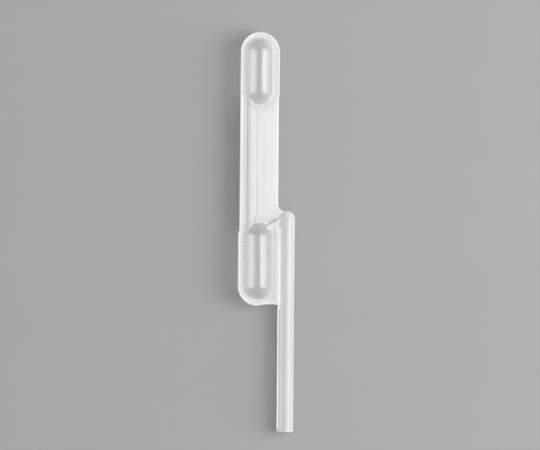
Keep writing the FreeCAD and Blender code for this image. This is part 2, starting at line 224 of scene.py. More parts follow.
def polyethylene(
    name, haze, colour, roughness, streak, shine, through, grain=0.15, mottling=0.12, glow=0.0
):
    """Milky plastic as a thin scattering skin: the more squarely it is seen, the clearer it is.

    haze: optical depth, scaled by the "milk" attribute; streak, mottling: how unevenly it
    varies; grain: fine bump; shine: strength of the reflection; through: share of the
    scattered light that passes through; glow: strength of a painted glow, an emission that
    paints edges bright where a vertex attribute marks them.
    """
    shader = Shader(name)
    coords = shader.add("TexCoord").outputs["Object"]
    # cloudiness of the melt in long soft patches, and very fine vertical draw lines
    cloud = shader.stretched_noise(coords, (420.0, 420.0, 90.0), detail=3.0, roughness=0.5)
    lines = shader.stretched_noise(coords, (2600.0, 2600.0, 28.0), detail=4.0, roughness=0.6)
    # fine grain of the mould's face
    grains = shader.add("TexNoise", {"Vector": coords, "Scale": 5200.0, "Detail": 2.0})

    facing = shader.add("LayerWeight", {"Blend": 0.5}).outputs["Facing"]
    cosine = shader.math("SUBTRACT", 1.0, facing)
    cosine = shader.math("MAXIMUM", cosine, 0.10)

    depth = shader.math("MULTIPLY", shader.attribute("milk"), haze)
    depth = shader.math("MULTIPLY", depth, shader.vary(cloud, mottling))
    depth = shader.math("MULTIPLY", depth, shader.vary(lines, streak))
    depth = shader.math("DIVIDE", depth, cosine)
    passed = shader.math("EXPONENT", shader.math("MULTIPLY", depth, -1.0))
    scattered = shader.math("SUBTRACT", 1.0, passed, clamped=True)

    # the bump fades out on faces that look up or down
    normal = shader.add("NewGeometry").outputs["True Normal"]
    normal_z = shader.add("SeparateXYZ", {0: normal}).outputs["Z"]
    squared = shader.math("MULTIPLY", normal_z, normal_z)
    upright = shader.math("MULTIPLY_ADD", squared, -1.0, 1.0, clamped=True)
    strength = shader.math("MULTIPLY", shader.math("POWER", upright, 3.0), 0.25)
    fine = shader.math("MULTIPLY", grains.outputs["Fac"], grain)
    height = shader.math("MULTIPLY_ADD", lines, 1.0 + streak * 2.0, fine)
    bump = shader.add("Bump", {"Strength": strength, "Distance": 0.00003, "Height": height})
    bumped = bump.outputs["Normal"]

    darker = (*[channel * 0.955 for channel in colour], 1)
    tone = shader.add("MixRGB", {"Fac": lines, "Color1": darker, "Color2": (*colour, 1)})
    lit = {"Color": tone.outputs["Color"], "Normal": bumped}
    diffuse = shader.add("BsdfDiffuse", lit).outputs[0]
    translucent = shader.add("BsdfTranslucent", lit).outputs[0]
    body = shader.mix(through, diffuse, translucent)
    clear = shader.add("BsdfTransparent", {"Color": (0.985, 0.985, 0.985, 1)}).outputs[0]
    skin = shader.mix(scattered, clear, body)

    # reflection grows toward grazing angles and is weaker on back faces
    gloss = {"Roughness": roughness, "Color": (1, 1, 1, 1), "Normal": bumped}
    glossy = shader.add("BsdfGlossy", gloss).outputs[0]
    grazing = shader.math("POWER", facing, 5.0)
    fresnel = shader.math("MULTIPLY_ADD", grazing, 0.75, 0.045)
    fresnel = shader.math("MULTIPLY", fresnel, shine, clamped=True)
    backfacing = shader.add("NewGeometry").outputs["Backfacing"]
    outside = shader.math("MULTIPLY_ADD", backfacing, -0.6, 1.0)
    fresnel = shader.math("MULTIPLY", fresnel, outside)
    surface = shader.mix(fresnel, skin, glossy)
    if glow:
        # painted glow: an emission paints the marked edges bright, standing in for light caught in
        # the clear wall that leaves again at its raised edge
        strength = shader.math("MULTIPLY", shader.attribute("painted_glow"), glow)
        emission = {"Color": (0.98, 0.985, 1.0, 1), "Strength": strength}
        edge = shader.add("Emission", emission).outputs[0]
        surface = shader.add("AddShader", {0: surface, 1: edge}).outputs[0]
    return shader.finish(surface)


def hidden_joint():
    """The weld plane and the cuts between regions of one moulding: no surface is there."""
    shader = Shader("inside_of_the_weld")
    return shader.finish(shader.add("BsdfTransparent").outputs[0])


# glow paints an emissive bright line on the web's left-facing edges, a painted highlight
MAT_WEB = polyethylene(
    "ldpe_web", haze=1.0, colour=(0.885, 0.887, 0.89), roughness=0.36,
    streak=0.30, shine=0.7, through=0.42, glow=0.15,
)
MAT_BULB = polyethylene(
    "ldpe_bulb", haze=0.30, colour=(0.89, 0.894, 0.908), roughness=0.26,
    streak=0.08, shine=1.2, through=0.45, grain=0.0, mottling=0.2,
)
MAT_RIDGE = polyethylene(
    "ldpe_channel", haze=0.62, colour=(0.88, 0.882, 0.886), roughness=0.32,
    streak=0.2, shine=0.8, through=0.40,
)
MAT_STEM = polyethylene(
    "ldpe_stem", haze=0.42, colour=(0.85, 0.853, 0.865), roughness=0.32,
    streak=0.2, shine=0.6, through=0.5, grain=0.06,
)
# glow paints the weld lines and the stem's root fillet and lip bright by emission, a painted
# highlight
MAT_LINE = polyethylene(
    "ldpe_weld_line", haze=2.2, colour=(0.93, 0.93, 0.935), roughness=0.24,
    streak=0.1, shine=1.2, through=0.4, glow=0.30,
)
MAT_JOINT = hidden_joint()


# ------------------------------------------------------------------ mesh helpers
SHARP = math.radians(38.0)  # edges that bend more than this are shaded sharp


def make(name, verts, faces, kinds, plastic, milk, painted_glow=None):
    """A closed smooth mesh from millimetres.

    kinds: PLASTIC or HIDDEN per face; milk: haze factor, and the glow argument after it: strength of
    the painted edge glow, per vertex.
    """
    mesh = bpy.data.meshes.new(name)
    mesh.from_pydata([tuple(place) for place in np.asarray(verts) * MM], [], faces)
    mesh.materials.append(plastic)
    mesh.materials.append(MAT_JOINT)
    for polygon, kind in zip(mesh.polygons, kinds):
        polygon.material_index = kind
        polygon.use_smooth = True
    if painted_glow is None:
        painted_glow = np.zeros(len(verts))
    # the second attribute sets the strength of the painted edge glow
    for label, values in (("milk", milk), ("painted_glow", painted_glow)):
        attribute = mesh.attributes.new(label, "FLOAT", "POINT")
        attribute.data.foreach_set("value", np.asarray(values, dtype=np.float32))

    bm = bmesh.new()
    bm.from_mesh(mesh)
    bmesh.ops.remove_doubles(bm, verts=bm.verts, dist=2e-7)
    bmesh.ops.dissolve_degenerate(bm, dist=1e-7, edges=bm.edges)
    bmesh.ops.recalc_face_normals(bm, faces=bm.faces)
    for edge in bm.edges:
        if len(edge.link_faces) != 2:
            continue
        one, other = edge.link_faces
        changes = one.material_index != other.material_index
        if changes or one.normal.angle(other.normal, 0) > SHARP:
            edge.smooth = False
    bm.to_mesh(mesh)
    bm.free()
    obj = bpy.data.objects.new(name, mesh)
    bpy.context.scene.collection.objects.link(obj)
    return obj


def loft(sections, side_kinds, end_kind):
    """Faces through a row of closed sections, capped at both ends."""
    count = len(side_kinds)
    faces, kinds = [], []
    for s in range(sections - 1):
        here, there = s * count, (s + 1) * count
        for i in range(count):
            j = (i + 1) % count
            faces.append((here + i, here + j, there + j, there + i))
        kinds += side_kinds
    faces.append(tuple(range(count)))
    faces.append(tuple((sections - 1) * count + i for i in reversed(range(count))))
    return faces, kinds + [end_kind] * 2


def loft_round(sections, side_kinds):
    """Faces through a ring of open sections, the last joined to the first."""
    count = len(side_kinds) + 1
    faces = []
    for s in range(sections):
        here, there = s * count, (s + 1) % sections * count
        for i in range(count - 1):
            faces.append((here + i, here + i + 1, there + i + 1, there + i))
    return faces, side_kinds * sections


# ------------------------------------------------------------------ bulbs
def bulb_section(bulb):
    """(across, depth): outside from the crown to the foot's edge; inside back to the crown."""
    fillet_x, touch = fillet_on_sheet(bulb.radius, BULB_FILLET)
    outer = arc(0, 0, bulb.radius, math.pi / 2, touch, 26)
    outer += arc(
        fillet_x, SHEET + BULB_FILLET, BULB_FILLET, math.pi + touch, 1.5 * math.pi, 7
    )[1:]
    outer += [(across, SHEET) for across in np.linspace(fillet_x, bulb.foot, 3)[1:]]
    inner = arc(0, 0, bulb.radius - BULB_WALL, 0.0, math.pi / 2, 24)
    return outer, inner


def stations(bulb, line_steps=44, end_steps=36):
    """(centre z, outward x, outward z) all round a bulb's centre line."""
    low, top = bulb.low, bulb.top
    out = []
    for start, end, angle in ((low, top, 0.0), (top, low, math.pi)):
        outward = 1.0 if start == low else -1.0
        out += [(z, outward, 0.0) for z in np.linspace(start, end, line_steps + 1)[:-1]]
        for turn in np.linspace(angle, angle + math.pi, end_steps + 1)[:-1]:
            out.append((end, math.cos(turn), math.sin(turn)))
    return out


def bulb_haze(bulb, across, outward_x, is_outer, flank, lean, drop):
    """The inner face loses haze toward the foot and the outer face gains it.

    flank: haze added down the outer flank; lean: how much less of it on the right;
    drop: share of the foot's own haze lost on the right. Lean and drop are painted shade:
    the right side is made clearer, so it shows darker there.
    """
    radius = bulb.radius
    if not is_outer:
        return 0.50 * (1.0 - 0.75 * clamp((across - radius * 0.62) / (radius * 0.38)))
    near_foot = clamp((across - radius * 0.72) / (bulb.foot - radius * 0.72))
    haze = 0.50 + flank * (1.0 - lean * outward_x) * near_foot**1.5
    if across > radius:
        share = (across - radius) / (bulb.foot - radius)
        haze += (2.05 - flank) * min(1.0, share) ** 1.6 * (1.0 - drop * max(0.0, outward_x))
    return haze


def bulb_wall(name, bulb, side, seed, tuning):
    outer, inner = bulb_section(bulb)
    section = outer + [(bulb.foot, 0.0)] + inner
    side_kinds = [PLASTIC] * (len(outer) - 1) + [HIDDEN] * 2 + [PLASTIC] * (len(inner) - 1)
    ring = stations(bulb)
    verts, milk = [], []
    for centre_z, outward_x, outward_z in ring:
        for i, (across, depth) in enumerate(section):
            x, z = bulb.x + across * outward_x, centre_z + across * outward_z
            # a blown wall has shallow waves that fade out at the foot
            share = min(depth / bulb.radius, 1.0)
            ripple = 0.045 * waviness(x, side * 3.0, z, 3.4, seed)
            ripple += 0.02 * waviness(x, side, z, 1.3, seed + 5)
            swell = 1.0 + share * (2 - share) * ripple / (math.hypot(across, depth) or 1.0)
            reach = across * swell
            x, z = bulb.x + reach * outward_x, centre_z + reach * outward_z
            verts.append((x, side * depth * swell, z))
            milk.append(bulb_haze(bulb, across, outward_x, i < len(outer), **tuning))
    faces, kinds = loft_round(len(ring), side_kinds)
    return make(name, verts, faces, kinds, MAT_BULB, milk)


# ------------------------------------------------------------------ web outline
def eased_step(start, end):
    """S-shaped step between two upright edges, without its last point."""
    return [
        (start[0] + (end[0] - start[0]) * smooth(share), start[1] + (end[1] - start[1]) * share)
        for share in np.linspace(0, 1, 9)[:-1]
    ]


def rim_points():
    """Open chain from the inner corner at the free stem, round lobe, head and panel, to the dome."""
    head_z = TOP_Z - HEAD_R
    lobe_left = LOBE_X - LOBE_R
    head_left, head_right = HEAD_X - HEAD_R, HEAD_X + HEAD_R
    # inner corner beside the stem
    corner_r = 0.70
    corner_x = 0.09 - STEM_R - corner_r
    # concave bend between the lower edge and the lobe
    bend_r = 2.0
    bend_z = WEB_BOTTOM - bend_r
    centres = LOBE_R + bend_r
    rise = LOBE_Z - bend_z
    run = math.sqrt(centres**2 - rise**2)
    bend_x = LOBE_X + run
    share = LOBE_R / centres
    touch_x, touch_z = LOBE_X + run * share, LOBE_Z - rise * share
    bend_end = math.atan2(touch_z - bend_z, touch_x - bend_x)
    lobe_start = math.atan2(touch_z - LOBE_Z, touch_x - LOBE_X)
    # eased steps: lobe to panel on the left, head to panel on the right
    left_step = ((lobe_left, 46.9), (PANEL_LEFT, 48.2))
    right_step = ((head_right, 80.7), (PANEL_RIGHT, 78.9))
    shoulder_z = DOME_Z + SHOULDER_RISE

    rim = arc(corner_x, WEB_BOTTOM - corner_r, corner_r, 0.0, math.pi / 2, 9)[:-1]
    rim += line((corner_x, WEB_BOTTOM), (bend_x, WEB_BOTTOM))
    rim += arc(bend_x, bend_z, bend_r, math.pi / 2, bend_end, 7)[:-1]
    rim += arc(LOBE_X, LOBE_Z, LOBE_R, lobe_start, -math.pi, 34)[:-1]
    rim += line((lobe_left, LOBE_Z), left_step[0])
    rim += eased_step(*left_step)
    rim += line(left_step[1], (head_left, head_z))
    rim += arc(HEAD_X, head_z, HEAD_R, math.pi, 0.0, 49)[:-1]
    rim += line((head_right, head_z), right_step[0])
    rim += eased_step(*right_step)
    rim += line(right_step[1], (PANEL_RIGHT, shoulder_z))
    rim += arc(SHOULDER_X, shoulder_z, SHOULDER_R, math.pi, 1.5 * math.pi, 15)
    return rim


def web_loop():
    """Closed outline of the web, and the radius that rounds its edge at each point."""
    rim = [place for place in rim_points() if stem_distance(*place) > STEM_R]
    first, last = rim[0], rim[-1]
    # inside the stem wall, from the rim's last point back down to its first
    start = math.atan2(last[1] - DOME_Z, last[0])
    buried = arc(0.0, DOME_Z, WEB_HIDE, start, math.pi, 12)
    buried += line((-WEB_HIDE, DOME_Z), (-WEB_HIDE, first[1]), 0.6)[1:]
    buried += [(-WEB_HIDE, first[1])]
    # the rounding fades in at the rim's start and is small at its end
    rounding = [0.05, 0.08, 0.11] + [0.14] * (len(rim) - 4) + [0.05] + [0.0] * len(buried)
    return rim + buried, np.array(rounding)


def offset_loop(loop, distance):
    """Move each point of a closed loop inward by its own distance."""

    def unit(vectors):
        return vectors / np.maximum(np.linalg.norm(vectors, axis=1), 1e-9)[:, None]

    points = np.array(loop)
    following, previous = np.roll(points, -1, 0), np.roll(points, 1, 0)
    ahead = unit(following - points)
    behind = unit(points - previous)
    normal_behind = np.stack([-behind[:, 1], behind[:, 0]], 1)
    normal_ahead = np.stack([-ahead[:, 1], ahead[:, 0]], 1)
    normal = unit(normal_behind + normal_ahead)
    mitre = 1.0 / np.maximum((normal * normal_behind).sum(1), 0.5)
    area = 0.5 * np.sum(points[:, 0] * following[:, 1] - following[:, 0] * points[:, 1])
    sign = 1.0 if area > 0 else -1.0
    return points + normal * (distance * mitre * sign)[:, None]


def inside(loop, x, z):
    loop = np.asarray(loop)
    x0, z0 = loop[:, 0], loop[:, 1]
    x1, z1 = np.roll(x0, -1), np.roll(z0, -1)
    spans = (z0 > z) != (z1 > z)
    level = np.where(z1 == z0, 1e-12, z1 - z0)
    crossed = spans & (x < (x1 - x0) * (z - z0) / level + x0)
    return crossed.sum() % 2 == 1


def loop_distance(loop, x, z):
    points = np.asarray(loop)
    sides = np.roll(points, -1, 0) - points
    along = (x - points[:, 0]) * sides[:, 0] + (z - points[:, 1]) * sides[:, 1]
    share = np.clip(along / np.maximum((sides**2).sum(1), 1e-12), 0, 1)
    nearest = points + sides * share[:, None]
    return float(np.min(np.hypot(nearest[:, 0] - x, nearest[:, 1] - z)))


def first_zero(gap, low, high):
    """Where gap first falls to zero between low and high, or where it is least if it never does."""
    grid = np.linspace(low, high, 81)
    values = [gap(step) for step in grid]
    first = next((i for i, value in enumerate(values) if value <= 0), None)
    if first is None:
        return float(grid[int(np.argmin(values))])
    if first == 0:
        return low
    low, high = float(grid[first - 1]), float(grid[first])
    for _ in range(30):
        middle = (low + high) / 2
        if gap(middle) > 0:
            low = middle
        else:
            high = middle
    return (low + high) / 2


def duct_place(along, across):
    return DUCT_ORIGIN + DUCT_ALONG * along + DUCT_ACROSS * across


def duct_foot_end(across):
    """How far along the duct its foot runs at this place across."""

    def gap(along):
        return stem_distance(*duct_place(along, across)) - DUCT_FOOT_GAP

    return min(first_zero(gap, 2.0, 6.0), DUCT_END)


def web_openings():
    """Outlines left out of the web for the bulbs, the air channel and the duct."""
    bulbs = [
        [
            (bulb.x + bulb.foot * outward_x, centre_z + bulb.foot * outward_z)
            for centre_z, outward_x, outward_z in stations(bulb)
        ]
        for bulb in (SQUEEZE, OVERFLOW)
    ]
    low, high = OVERFLOW.top + 0.5, SQUEEZE.low - 0.4
    left, right = CHANNEL_X - CHANNEL.foot, CHANNEL_X + CHANNEL.foot
    channel = [(left, low), (right, low), (right, high), (left, high)]
    duct = [tuple(duct_place(0.0, DUCT.foot)), tuple(duct_place(0.0, -DUCT.foot))]
    for across in np.linspace(-DUCT.foot, DUCT.foot, 9):
        duct.append(tuple(duct_place(duct_foot_end(across), across)))
    return [*bulbs, channel, duct]


# ------------------------------------------------------------------ web
def web_triangles(outlines):
    """Triangulate between the ring (the first outline) and the openings (the others).

    Returns the points, the triangles and, for points on the ring, their index in it.
    """
    ring, *openings = outlines
    places, edges = [], []
    for outline in outlines:
        first, count = len(places), len(outline)
        places += [tuple(place) for place in outline]
        edges += [(first + i, first + (i + 1) % count) for i in range(count)]

    def in_web(x, z):
        return inside(ring, x, z) and not any(inside(hole, x, z) for hole in openings)

    # support points across the flat areas, in staggered rows
    step = 0.5
    row = 0
    z = WEB_BOTTOM + 0.4
    while z < TOP_Z:
        x = PANEL_LEFT + (step / 2 if row % 2 else 0)
        while x < 0:
            if in_web(x, z) and all(loop_distance(edge, x, z) > 0.3 for edge in outlines):
                places.append((x, z))
            x += step
        z += step * 0.866
        row += 1

    result = delaunay_2d_cdt([Vector(place) for place in places], edges, [], 0, 1e-6)
    points = [(place[0], place[1]) for place in result[0]]
    triangles = []
    for face in result[2]:
        middle_x = sum(points[i][0] for i in face) / len(face)
        middle_z = sum(points[i][1] for i in face) / len(face)
        if in_web(middle_x, middle_z):
            triangles.append(tuple(face))
    on_ring = {}
    for i, sources in enumerate(result[3]):
        for source in sources:
            if source < len(ring):
                on_ring[i] = source
    return points, triangles, on_ring


def web_haze(loop, x, z):
    """Milkier at the free rim; clearer round the bulbs and along the panel's left edge, and clearer
    still right of the squeeze bulb, a painted shade.
    """
    rim = 0.0
    if stem_distance(x, z) >= 2.2:
        rim = math.exp(-((loop_distance(loop, x, z) / 0.26) ** 2))
    thin = 0.0
    # painted shade: right of the squeeze bulb the web is made clearer, so it shows darker
    right = clamp((x - SQUEEZE.x) / 2.0)
    for bulb, share in ((SQUEEZE, 0.38 + 0.14 * right), (OVERFLOW, 0.36)):
        centre_z = min(max(z, bulb.low), bulb.top)
        away = math.hypot(x - bulb.x, z - centre_z) - bulb.foot
        thin += share * math.exp(-((max(away, 0.0) / 1.5) ** 2))
    thin += 0.20 * clamp((-10.2 - x) / 0.5) * clamp((z - 47.0) / 2.0)
    return (1.0 - min(thin, 0.56)) * (1.0 + 0.8 * rim)


def web_sheet(name, side, seed):
    loop, rounding = web_loop()
    count = len(loop)
    loop = np.array(loop)
    outlines = [offset_loop(loop, rounding + 0.05), *web_openings()]
    points, triangles, on_ring = web_triangles(outlines)
    # how much each point of the outline faces left; only those edges get the painted glow, an
    # emission standing in for light from the right that leaves at the left rim
    leftness = np.clip((loop - offset_loop(loop, np.full(count, -1.0)))[:, 0], 0.0, 1.0)
    verts, milk, painted_glow = [], [], []

    def add(x, y, z, haze, glow):
        verts.append((x, y, z))
        milk.append(haze)
        painted_glow.append(glow)
        return len(verts) - 1

    # painted glow near the left-facing rim
    def rim_glow(x, z):
        distances = np.hypot(loop[:, 0] - x, loop[:, 1] - z)
        nearest = int(np.argmin(distances))
        return leftness[nearest] * math.exp(-((float(distances[nearest]) / 0.22) ** 2))

    # gently wavy outer face, flat weld face
    face, weld = [], []
    for x, z in points:
        fade = min(1.0, min(loop_distance(edge, x, z) for edge in outlines) / 1.2)
        wave = fade * 0.035 * waviness(x, 0, z, 5.0, seed)
        face.append(add(x, side * (SHEET + wave), z, web_haze(loop, x, z), rim_glow(x, z)))
        weld.append(add(x, 0.0, z, 1.0, 0.0))

    # rings of the rounded edge, from the outer face down to the weld plane
    steps = 5
    # the rounded edge gets the painted glow where it faces left
    edge_haze = 2.4
    rings = []
    for s in range(steps + 1):
        angle = s / steps * math.pi / 2
        places = offset_loop(loop, rounding * (1 - math.sin(angle)))
        depths = SHEET - rounding * (1 - math.cos(angle))
        rings.append([
            add(places[i][0], side * depths[i], places[i][1], edge_haze, leftness[i])
            for i in range(count)
        ])
    rings.append([add(x, 0.0, z, edge_haze, leftness[i]) for i, (x, z) in enumerate(loop)])

    faces, kinds = [], []
    uses = {}
    for triangle in triangles:
        faces.append(tuple(face[i] for i in triangle))
        faces.append(tuple(weld[i] for i in reversed(triangle)))
        kinds += [PLASTIC, HIDDEN]
        for pair in zip(triangle, triangle[1:] + triangle[:1]):
            key = frozenset(pair)
            uses[key] = uses.get(key, 0) + 1
    # close the border: the rounded edge on the ring, plain cuts at the openings
    for pair, times in uses.items():
        if times != 1:
            continue
        one, other = tuple(pair)
        i, j = on_ring.get(one), on_ring.get(other)
        if i is None or j is None or abs(i - j) not in (1, count - 1):
            faces.append((face[one], face[other], weld[other], weld[one]))
            kinds.append(HIDDEN)
            continue
        edge_kind = HIDDEN if min(rounding[i], rounding[j]) < 0.01 else PLASTIC
        chain_i = [face[one]] + [ring[i] for ring in rings]
        chain_j = [face[other]] + [ring[j] for ring in rings]
        for k in range(len(chain_i) - 1):
            faces.append((chain_i[k], chain_j[k], chain_j[k + 1], chain_i[k + 1]))
            kinds.append(PLASTIC if k == 0 else edge_kind)
        faces.append((chain_i[-1], chain_j[-1], weld[other], weld[one]))
        kinds.append(HIDDEN)
    return make(name, verts, faces, kinds, MAT_WEB, milk, painted_glow)


# ------------------------------------------------------------------ raised channel and duct
def ridge_section(shape):
    """Closed (across, depth) section of a half tube on its foot, with the kind of each side."""
    fillet_x, touch = fillet_on_sheet(shape.radius, shape.fillet)
    right = [(shape.foot, 0.0), (shape.foot, SHEET), ((shape.foot + fillet_x) / 2, SHEET)]
    right += arc(
        fillet_x, SHEET + shape.fillet, shape.fillet, 1.5 * math.pi, math.pi + touch, 6
    )
    left = [(-across, depth) for across, depth in reversed(right)]
    outer = right + arc(0, 0, shape.radius, touch, math.pi - touch, 22)[1:-1] + left
    section = outer + arc(0, 0, shape.bore, math.pi, 0.0, 14)
    kinds = [PLASTIC] * len(section)
    # the foot's two outer sides and its faces on the weld plane
    for i in (0, len(outer) - 2, len(outer) - 1, len(section) - 1):
        kinds[i] = HIDDEN
    return section, kinds


def on_foot(shape, across, depth, above=0.02, beside=0.02):
    return depth <= SHEET + above and abs(across) > shape.bore + beside


def ridge(
    name, shape, place, start, stop, rows, side, haze, seed,
    swell=lambda along, depth: 1.0, drawn=0.0,
):
    """A half tube from start to stop, each given for every point of the section.

    place: (along, across) to (x, z); haze: milk over the section; swell: factor on depth;
    drawn: share of the haze lost at both ends, where the wall is drawn thin.
    """
    section, side_kinds = ridge_section(shape)
    ends = [(start(*point), stop(*point)) for point in section]
    verts, milk = [], []
    for s in range(rows + 1):
        for (across, depth), (low, high) in zip(section, ends):
            along = low + (high - low) * (s / rows)
            x, z = place(along, across)
            factor = swell(along, depth)
            if depth > SHEET + 0.05:
                factor *= 1.0 + 0.025 * waviness(x, side, z, 2.6, seed)
            verts.append((x, side * depth * factor, z))
            near = min(along - low, high - along) / 1.5
            milk.append(haze(across, depth) * (1.0 - drawn * math.exp(-near * near)))
    faces, kinds = loft(rows + 1, side_kinds, HIDDEN)
    return make(name, verts, faces, kinds, MAT_RIDGE, milk)


def bulb_gap(bulb, x, z, depth, flat):
    """Positive outside the bulb's foot (flat parts) or its dome (raised parts)."""
    centre_z = min(max(z, bulb.low), bulb.top)
    away = math.hypot(x - bulb.x, z - centre_z)
    if flat:
        return away - bulb.foot
    return math.hypot(away, depth) - (bulb.radius - 0.06)


def air_channel(name, side, seed):
    middle = 64.0

    def place(along, across):
        return CHANNEL_X + across, along

    def run(bulb, direction, across, depth):
        """Where the channel meets a bulb, going down (-1) or up (1) from its middle."""
        flat = on_foot(CHANNEL, across, depth)

        def gap(step):
            return bulb_gap(bulb, CHANNEL_X + across, middle + direction * step, depth, flat)

        return middle + direction * first_zero(gap, 0.0, 20.0)

    def haze(across, depth):
        return 1.6 if on_foot(CHANNEL, across, depth, above=0.03, beside=0.05) else 0.75

    return ridge(
        name, CHANNEL, place,
        start=lambda across, depth: run(OVERFLOW, -1, across, depth),
        stop=lambda across, depth: run(SQUEEZE, 1, across, depth),
        rows=72, side=side, haze=haze, seed=seed, drawn=0.65,
    )


def duct_swell(along, depth):
    """The duct's mouth swells where it opens onto the stem."""
    raised = clamp((depth - SHEET) / (DUCT.radius - SHEET))
    return 1.0 + 0.85 * smooth(clamp((along - 2.2) / 1.9)) * raised


def overflow_duct(name, side, seed):
    middle = 2.4

    def start(across, depth):
        flat = on_foot(DUCT, across, depth)

        def gap(step):
            x, z = duct_place(middle - step, across)
            return bulb_gap(OVERFLOW, x, z, depth, flat)

        return middle - first_zero(gap, 0.0, 4.5)

    def stop(across, depth):
        if on_foot(DUCT, across, depth):
            return duct_foot_end(across)

        def gap(step):
            away = stem_distance(*duct_place(middle + step, across))
            raised = depth * duct_swell(middle + step, depth)
            return math.hypot(away, raised) - (STEM_TOP_R - 0.08)

        return min(middle + first_zero(gap, 0.0, 4.5), DUCT_END)

    def haze(across, depth):
        if on_foot(DUCT, across, depth, above=0.03, beside=0.05):
            return 1.6
        # painted shade and light: the duct's upper-left flank is made clearer, so darker, and its
        # lower-right flank milkier, so lighter
        return 0.85 + 0.65 * across / DUCT.radius

    return ridge(
        name, DUCT, duct_place, start, stop,
        rows=22, side=side, haze=haze, seed=seed, swell=duct_swell,
    )


# ------------------------------------------------------------------ fillet from web to stem
def shoulder_reach(outward_x, outward_z):
    """How far from the dome's centre, in this direction, the web ends at the shoulder."""
    toward = SHOULDER_X * outward_x + SHOULDER_RISE * outward_z
    square = toward * toward - SHOULDER_X**2 - SHOULDER_RISE**2 + SHOULDER_R**2
    if toward <= 0 or square <= 0:
        return 9.0
    return toward - math.sqrt(square) - 0.03


def stem_crease(name, side):
    """Concave fillet from the web up the stem's flank, ending in the raised lip of the weld."""
    lip = 0.12
    least_lip = 0.012
    # (centre z, outward x, outward z, stem radius) up the stem, then round the dome
    path = [(z, -1.0, 0.0, stem_radius(z)) for z in np.linspace(WEB_BOTTOM - 0.1, DOME_Z, 60)]
    for angle in np.linspace(math.pi, math.radians(108), 26)[1:]:
        path.append((DOME_Z, math.cos(angle), math.sin(angle), STEM_TOP_R))
    verts, milk = [], []
    for k, (centre_z, outward_x, outward_z, radius) in enumerate(path):
        # the lip fades in at the bottom and dies out below the duct's mouth
        fade = min(1.0, k / 3.0, max(0.0, (48.9 - centre_z) / 0.9))
        dome = min(1.0, outward_z / 0.6)
        # round the dome the fillet is only as wide as the web still is there
        reach = shoulder_reach(outward_x, outward_z)
        widest = (reach**2 - radius * radius + SHEET * SHEET) / (2 * (radius - SHEET))
        fillet = min(0.62, max(0.03, widest))
        fillet_x, touch = fillet_on_sheet(radius, fillet)
        section = arc(
            fillet_x, SHEET + fillet, fillet, 1.5 * math.pi, math.pi + touch, 8
        )
        fillet_count = len(section)
        # the lip stands on the stem just past the fillet, turned to the stem's surface
        turn = math.pi / 2 - touch - math.radians(8.0)
        sin, cos = math.sin(turn), math.cos(turn)
        height = max(lip * fade, least_lip)
        for angle in np.linspace(math.radians(175), math.radians(-15), 9):
            along = math.cos(angle) * height
            out = radius - 0.01 + math.sin(angle) * height
            section.append((out * sin - along * cos, out * cos + along * sin))
        seen = len(section) - 1
        # closed inside the stem and web walls
        deep = radius - 0.16
        under = SHEET - 0.08
        section += [
            (deep * math.sin(turn - 0.08), deep * math.cos(turn - 0.08)),
            (math.sqrt(deep**2 - under**2), under),
            (fillet_x, under),
        ]
        for i, (across, depth) in enumerate(section):
            verts.append((across * outward_x, side * depth, centre_z + across * outward_z))
            haze = 0.40 if i < fillet_count else 0.40 + 0.60 * fade
            milk.append(haze * (1.0 - 0.45 * dome))
    side_kinds = [PLASTIC] * seen + [HIDDEN] * (len(section) - seen)
    faces, kinds = loft(len(path), side_kinds, HIDDEN)
    # the haze also sets the painted glow, so the fillet and the lip glow by emission, a painted
    # highlight
    return make(name, verts, faces, kinds, MAT_LINE, milk, milk)


# ------------------------------------------------------------------ stem
def weld_line(name, side, size, half_width, glow):
    """The thin raised line along the stem's left (-1) or right (1) side, made bright by a painted
    glow.
    """
    is_left = side < 0
    top = WEB_BOTTOM + 0.9 if is_left else DOME_Z
    # (x, z, outward x, outward z)
    path = [(side * stem_radius(z), z, side, 0.0) for z in np.linspace(0.12, top, 80)]
    if not is_left:
        for angle in np.linspace(0, math.radians(74), 14)[1:]:
            cos, sin = math.cos(angle), math.sin(angle)
            path.append((STEM_TOP_R * cos, DOME_Z + STEM_TOP_R * sin, cos, sin))
    around_count = 14
    verts = []
    for k, (x, z, outward_x, outward_z) in enumerate(path):
        height = size * (0.86 + 0.14 * waviness(0, side, z, 2.0, 21.0))
        height *= min(1.0, (k + 0.3) / 2.0, (len(path) - 1 - k + 0.3) / 4.0)
        # at the root the left line runs toward the front into the lip beside the web
        shift = smooth(clamp((z - WEB_BOTTOM + 2.2) / 2.0)) if is_left else 0.0
        stretch = (half_width + (0.13 - half_width) * shift) / size
        radius = stem_radius(z)
        for i in range(around_count):
            angle = 2 * math.pi * i / around_count
            y = height * math.sin(angle) * stretch
            if is_left:
                y -= 0.12 + 0.76 * shift
            fall = radius - math.sqrt(radius * radius - y * y)
            out = height * math.cos(angle) - 0.55 * size - fall
            verts.append((x + out * outward_x, y, z + out * outward_z))
    faces, kinds = loft(len(path), [PLASTIC] * around_count, PLASTIC)
    count = len(verts)
    return make(name, verts, faces, kinds, MAT_LINE, [0.8] * count, [glow] * count)


def stem_haze(z):
    """Very milky at the cut tip, a painted highlight for the bright line of light at the cut end; a
    little more above the free length, and more up the dome.
    """
    if z < 0.4:
        return 5.0
    if z > DOME_Z:
        return 1.35 + 1.6 * (z - DOME_Z) / STEM_TOP_R
    if z > STEM_FREE:
        return 1.0 + 0.35 * min(1.0, (z - STEM_FREE) / 9.0)
    return 1.0


